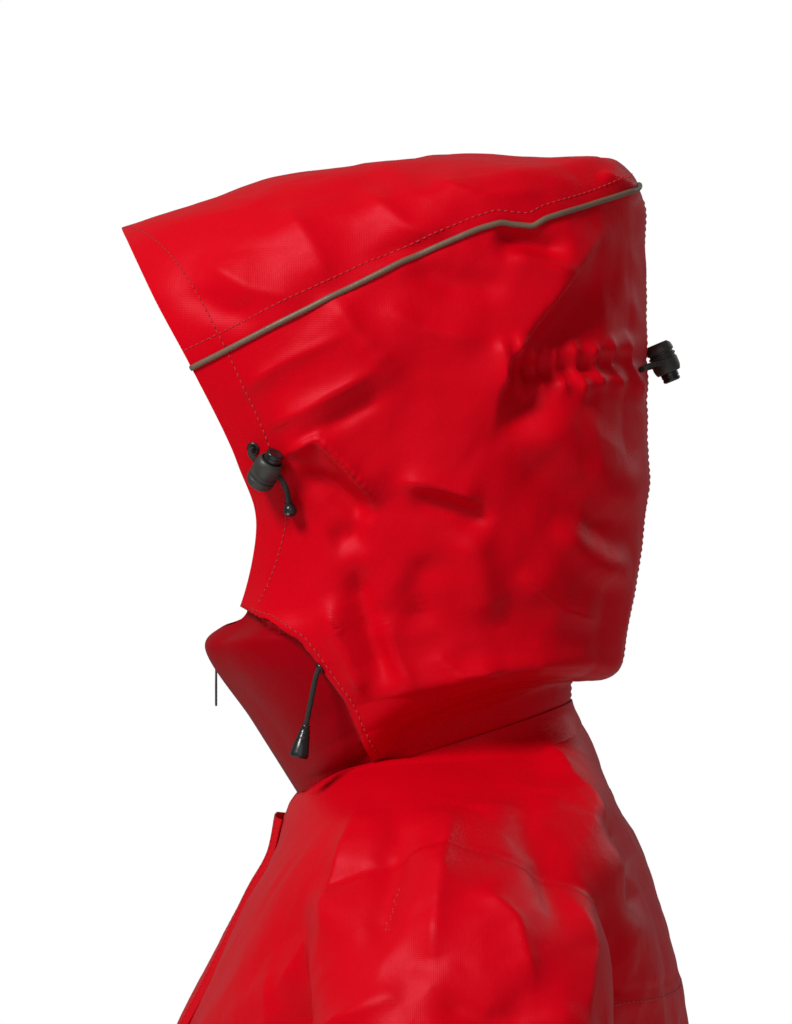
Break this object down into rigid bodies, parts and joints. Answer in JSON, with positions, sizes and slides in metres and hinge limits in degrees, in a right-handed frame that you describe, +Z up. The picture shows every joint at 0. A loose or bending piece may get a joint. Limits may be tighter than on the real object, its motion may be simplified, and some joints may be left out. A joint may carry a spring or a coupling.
{
  "type": "hooded hardshell jacket",
  "caption": "Hooded waterproof hardshell jacket with a stiff-brimmed adjustable hood, high zipped collar, hand pockets and tabbed cuffs, shaped as worn with the hood up.",
  "frame": {"origin": "middle of the neck opening, where the collar meets the body", "axes": "+Z up towards the hood, the front faces -Y, the wearer's left is +X"},
  "size_m": [0.6206, 0.309, 0.9752],
  "materials": {
    "shell_nylon": "coated nylon with a soft sheen",
    "collar_nylon": "coated nylon, slightly darker",
    "piping": "reflective grey-brown piping",
    "lining": "knitted backer and mesh",
    "fleece": "brushed",
    "stiffener_foam": "laminated foam",
    "spring_steel": "bright",
    "zip_metal": "dark coated",
    "zip_tape": "matt woven tape",
    "cord": "braided elastic cord",
    "black_plastic": "moulded"
  },
  "bodies": {
    "jacket": {"hood_top_panel": "shell_nylon", "hood_piping": "piping", "hood_side_left": "shell_nylon", "collar_left": "collar_nylon", "hood_side_right": "shell_nylon", "collar_right": "collar_nylon", "brim_stiffener": "stiffener_foam", "chin_guard_left": "fleece", "chin_guard_right": "fleece", "face_hem_facing": "lining", "face_drawcord": "cord", "back_panel": "shell_nylon", "front_left": "shell_nylon", "front_right": "shell_nylon", "sleeve_left_outer": "shell_nylon", "sleeve_left_inner": "shell_nylon", "sleeve_right_outer": "shell_nylon", "sleeve_right_inner": "shell_nylon", "cuff_left": "shell_nylon", "cuff_pad_left": "zip_tape", "cuff_right": "shell_nylon", "cuff_pad_right": "zip_tape", "hem_tunnel": "lining", "hem_drawcord": "cord", "zip_tape_left": "zip_tape", "zip_teeth_left": "zip_tape", "zip_tape_right": "zip_tape", "zip_teeth_right": "zip_tape", "storm_flap": "shell_nylon", "pocket_zip_left": "zip_tape", "pocket_bag_left": "lining", "pocket_zip_right": "zip_tape", "pocket_bag_right": "lining", "face_lock_left_barrel": "black_plastic", "face_lock_left_spring": "spring_steel", "face_cord_left": "cord", "cord_ball_left": "black_plastic", "face_lock_right_barrel": "black_plastic", "face_lock_right_spring": "spring_steel", "face_cord_right": "cord", "cord_ball_right": "black_plastic", "collar_cord_left": "cord", "cord_bell_left": "black_plastic", "collar_cord_right": "cord", "cord_bell_right": "black_plastic", "rear_lock_barrel": "black_plastic", "rear_lock_spring": "spring_steel", "rear_cord": "cord", "hanger_loop": "zip_tape"},
    "front_slider": {"front_zip_slider": "zip_metal"},
    "front_puller": {"front_zip_puller": "zip_metal"},
    "pocket_slider_left_body": {"pocket_slider_left": "zip_metal"},
    "pocket_puller_left_body": {"pocket_puller_left": "black_plastic"},
    "cuff_tab_left_body": {"cuff_tab_left": "black_plastic"},
    "pocket_slider_right_body": {"pocket_slider_right": "zip_metal"},
    "pocket_puller_right_body": {"pocket_puller_right": "black_plastic"},
    "cuff_tab_right_body": {"cuff_tab_right": "black_plastic"},
    "face_lock_left_plunger_body": {"face_lock_left_plunger": "black_plastic"},
    "face_lock_right_plunger_body": {"face_lock_right_plunger": "black_plastic"},
    "rear_lock_plunger_body": {"rear_lock_plunger": "black_plastic"}
  },
  "joints": [
    {"name": "front_zip_slide", "type": "slide", "parent": "jacket", "child": "front_slider", "axis": [0, 0.5328, -0.8462], "range_m": [0, 0.06]},
    {"name": "front_puller_swing", "type": "hinge", "parent": "front_slider", "child": "front_puller", "pos_m": [0, -0.12113, 0.04018], "axis": [-1, 0, 0], "range_deg": [-30, 110]},
    {"name": "pocket_zip_slide_left", "type": "slide", "parent": "jacket", "child": "pocket_slider_left_body", "axis": [0.1928, 0.1082, -0.9752], "range_m": [0, 0.145]},
    {"name": "pocket_puller_swing_left", "type": "hinge", "parent": "pocket_slider_left_body", "child": "pocket_puller_left_body", "pos_m": [0.11081, -0.1306, -0.38694], "axis": [-0.7995, -0.559, -0.2201], "range_deg": [-2, 120]},
    {"name": "pocket_zip_slide_right", "type": "slide", "parent": "jacket", "child": "pocket_slider_right_body", "axis": [-0.1928, 0.1082, -0.9752], "range_m": [0, 0.145]},
    {"name": "pocket_puller_swing_right", "type": "hinge", "parent": "pocket_slider_right_body", "child": "pocket_puller_right_body", "pos_m": [-0.11081, -0.1306, -0.38694], "axis": [-0.7995, 0.559, 0.2201], "range_deg": [-2, 120]},
    {"name": "face_lock_left_press", "type": "slide", "parent": "jacket", "child": "face_lock_left_plunger_body", "axis": [-0.4592, -0.4552, -0.7629], "range_m": [0, 0.003], "stiffness_N_per_m": 400, "springref_m": -0.004, "deforming": ["face_lock_left_spring"]},
    {"name": "face_lock_right_press", "type": "slide", "parent": "jacket", "child": "face_lock_right_plunger_body", "axis": [0.4592, -0.4552, -0.7629], "range_m": [0, 0.003], "stiffness_N_per_m": 400, "springref_m": -0.004, "deforming": ["face_lock_right_spring"]},
    {"name": "rear_lock_press", "type": "slide", "parent": "jacket", "child": "rear_lock_plunger_body", "axis": [0, -0.3872, 0.922], "range_m": [0, 0.003], "stiffness_N_per_m": 400, "springref_m": -0.004, "deforming": ["rear_lock_spring"]},
    {"name": "cuff_tab_open_left", "type": "hinge", "parent": "jacket", "child": "cuff_tab_left_body", "pos_m": [0.27568, 0.01329, -0.63383], "axis": [-0.1261, 0.2273, 0.9656], "range_deg": [0, 95]},
    {"name": "cuff_tab_open_right", "type": "hinge", "parent": "jacket", "child": "cuff_tab_right_body", "pos_m": [-0.27568, 0.01329, -0.63383], "axis": [-0.1261, -0.2273, -0.9656], "range_deg": [0, 95]}
  ]
}
